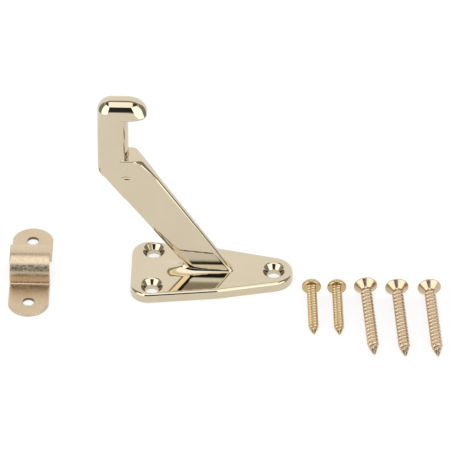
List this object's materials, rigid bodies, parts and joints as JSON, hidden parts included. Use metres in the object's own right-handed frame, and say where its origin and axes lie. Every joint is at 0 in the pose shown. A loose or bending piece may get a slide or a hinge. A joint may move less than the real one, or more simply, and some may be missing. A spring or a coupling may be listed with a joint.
{
  "type": "handrail bracket",
  "caption": "Polished brass-plated stair handrail bracket: cast wall plate, slanted arm and hooked post, with its loose rail strap and wood screws.",
  "frame": {"origin": "centre of the bracket's flat mounting face, which lies on the floor here and goes against the wall in use", "axes": "+Z out of the wall, -X up towards the rail when mounted, Y along the rail"},
  "size_m": [0.1819, 0.0756, 0.0982],
  "materials": {
    "polished_brass": "mirror-polished pale brass plating",
    "satin_brass": "satin brass plating on stamped steel",
    "rail_screw_brass": "bright yellow brass plating on steel",
    "wall_screw_brass": "bright pinkish brass plating on steel"
  },
  "bodies": {
    "bracket": {"bracket": "polished_brass"},
    "rail_strap": {"rail_strap": "satin_brass"},
    "rail_screw_1": {"rail_screw_1": "rail_screw_brass"},
    "rail_screw_2": {"rail_screw_2": "rail_screw_brass"},
    "wall_screw_1": {"wall_screw_1": "wall_screw_brass"},
    "wall_screw_2": {"wall_screw_2": "wall_screw_brass"},
    "wall_screw_3": {"wall_screw_3": "wall_screw_brass"}
  },
  "joints": [
    {"name": "lift_rail_strap", "type": "slide", "parent": "bracket", "child": "rail_strap", "axis": [0, 0, 1], "range_m": [0, 0.12]},
    {"name": "lift_rail_screw_1", "type": "slide", "parent": "bracket", "child": "rail_screw_1", "axis": [0, 0, 1], "range_m": [0, 0.12]},
    {"name": "lift_rail_screw_2", "type": "slide", "parent": "bracket", "child": "rail_screw_2", "axis": [0, 0, 1], "range_m": [0, 0.12]},
    {"name": "lift_wall_screw_1", "type": "slide", "parent": "bracket", "child": "wall_screw_1", "axis": [0, 0, 1], "range_m": [0, 0.12]},
    {"name": "lift_wall_screw_2", "type": "slide", "parent": "bracket", "child": "wall_screw_2", "axis": [0, 0, 1], "range_m": [0, 0.12]},
    {"name": "lift_wall_screw_3", "type": "slide", "parent": "bracket", "child": "wall_screw_3", "axis": [0, 0, 1], "range_m": [0, 0.12]}
  ]
}
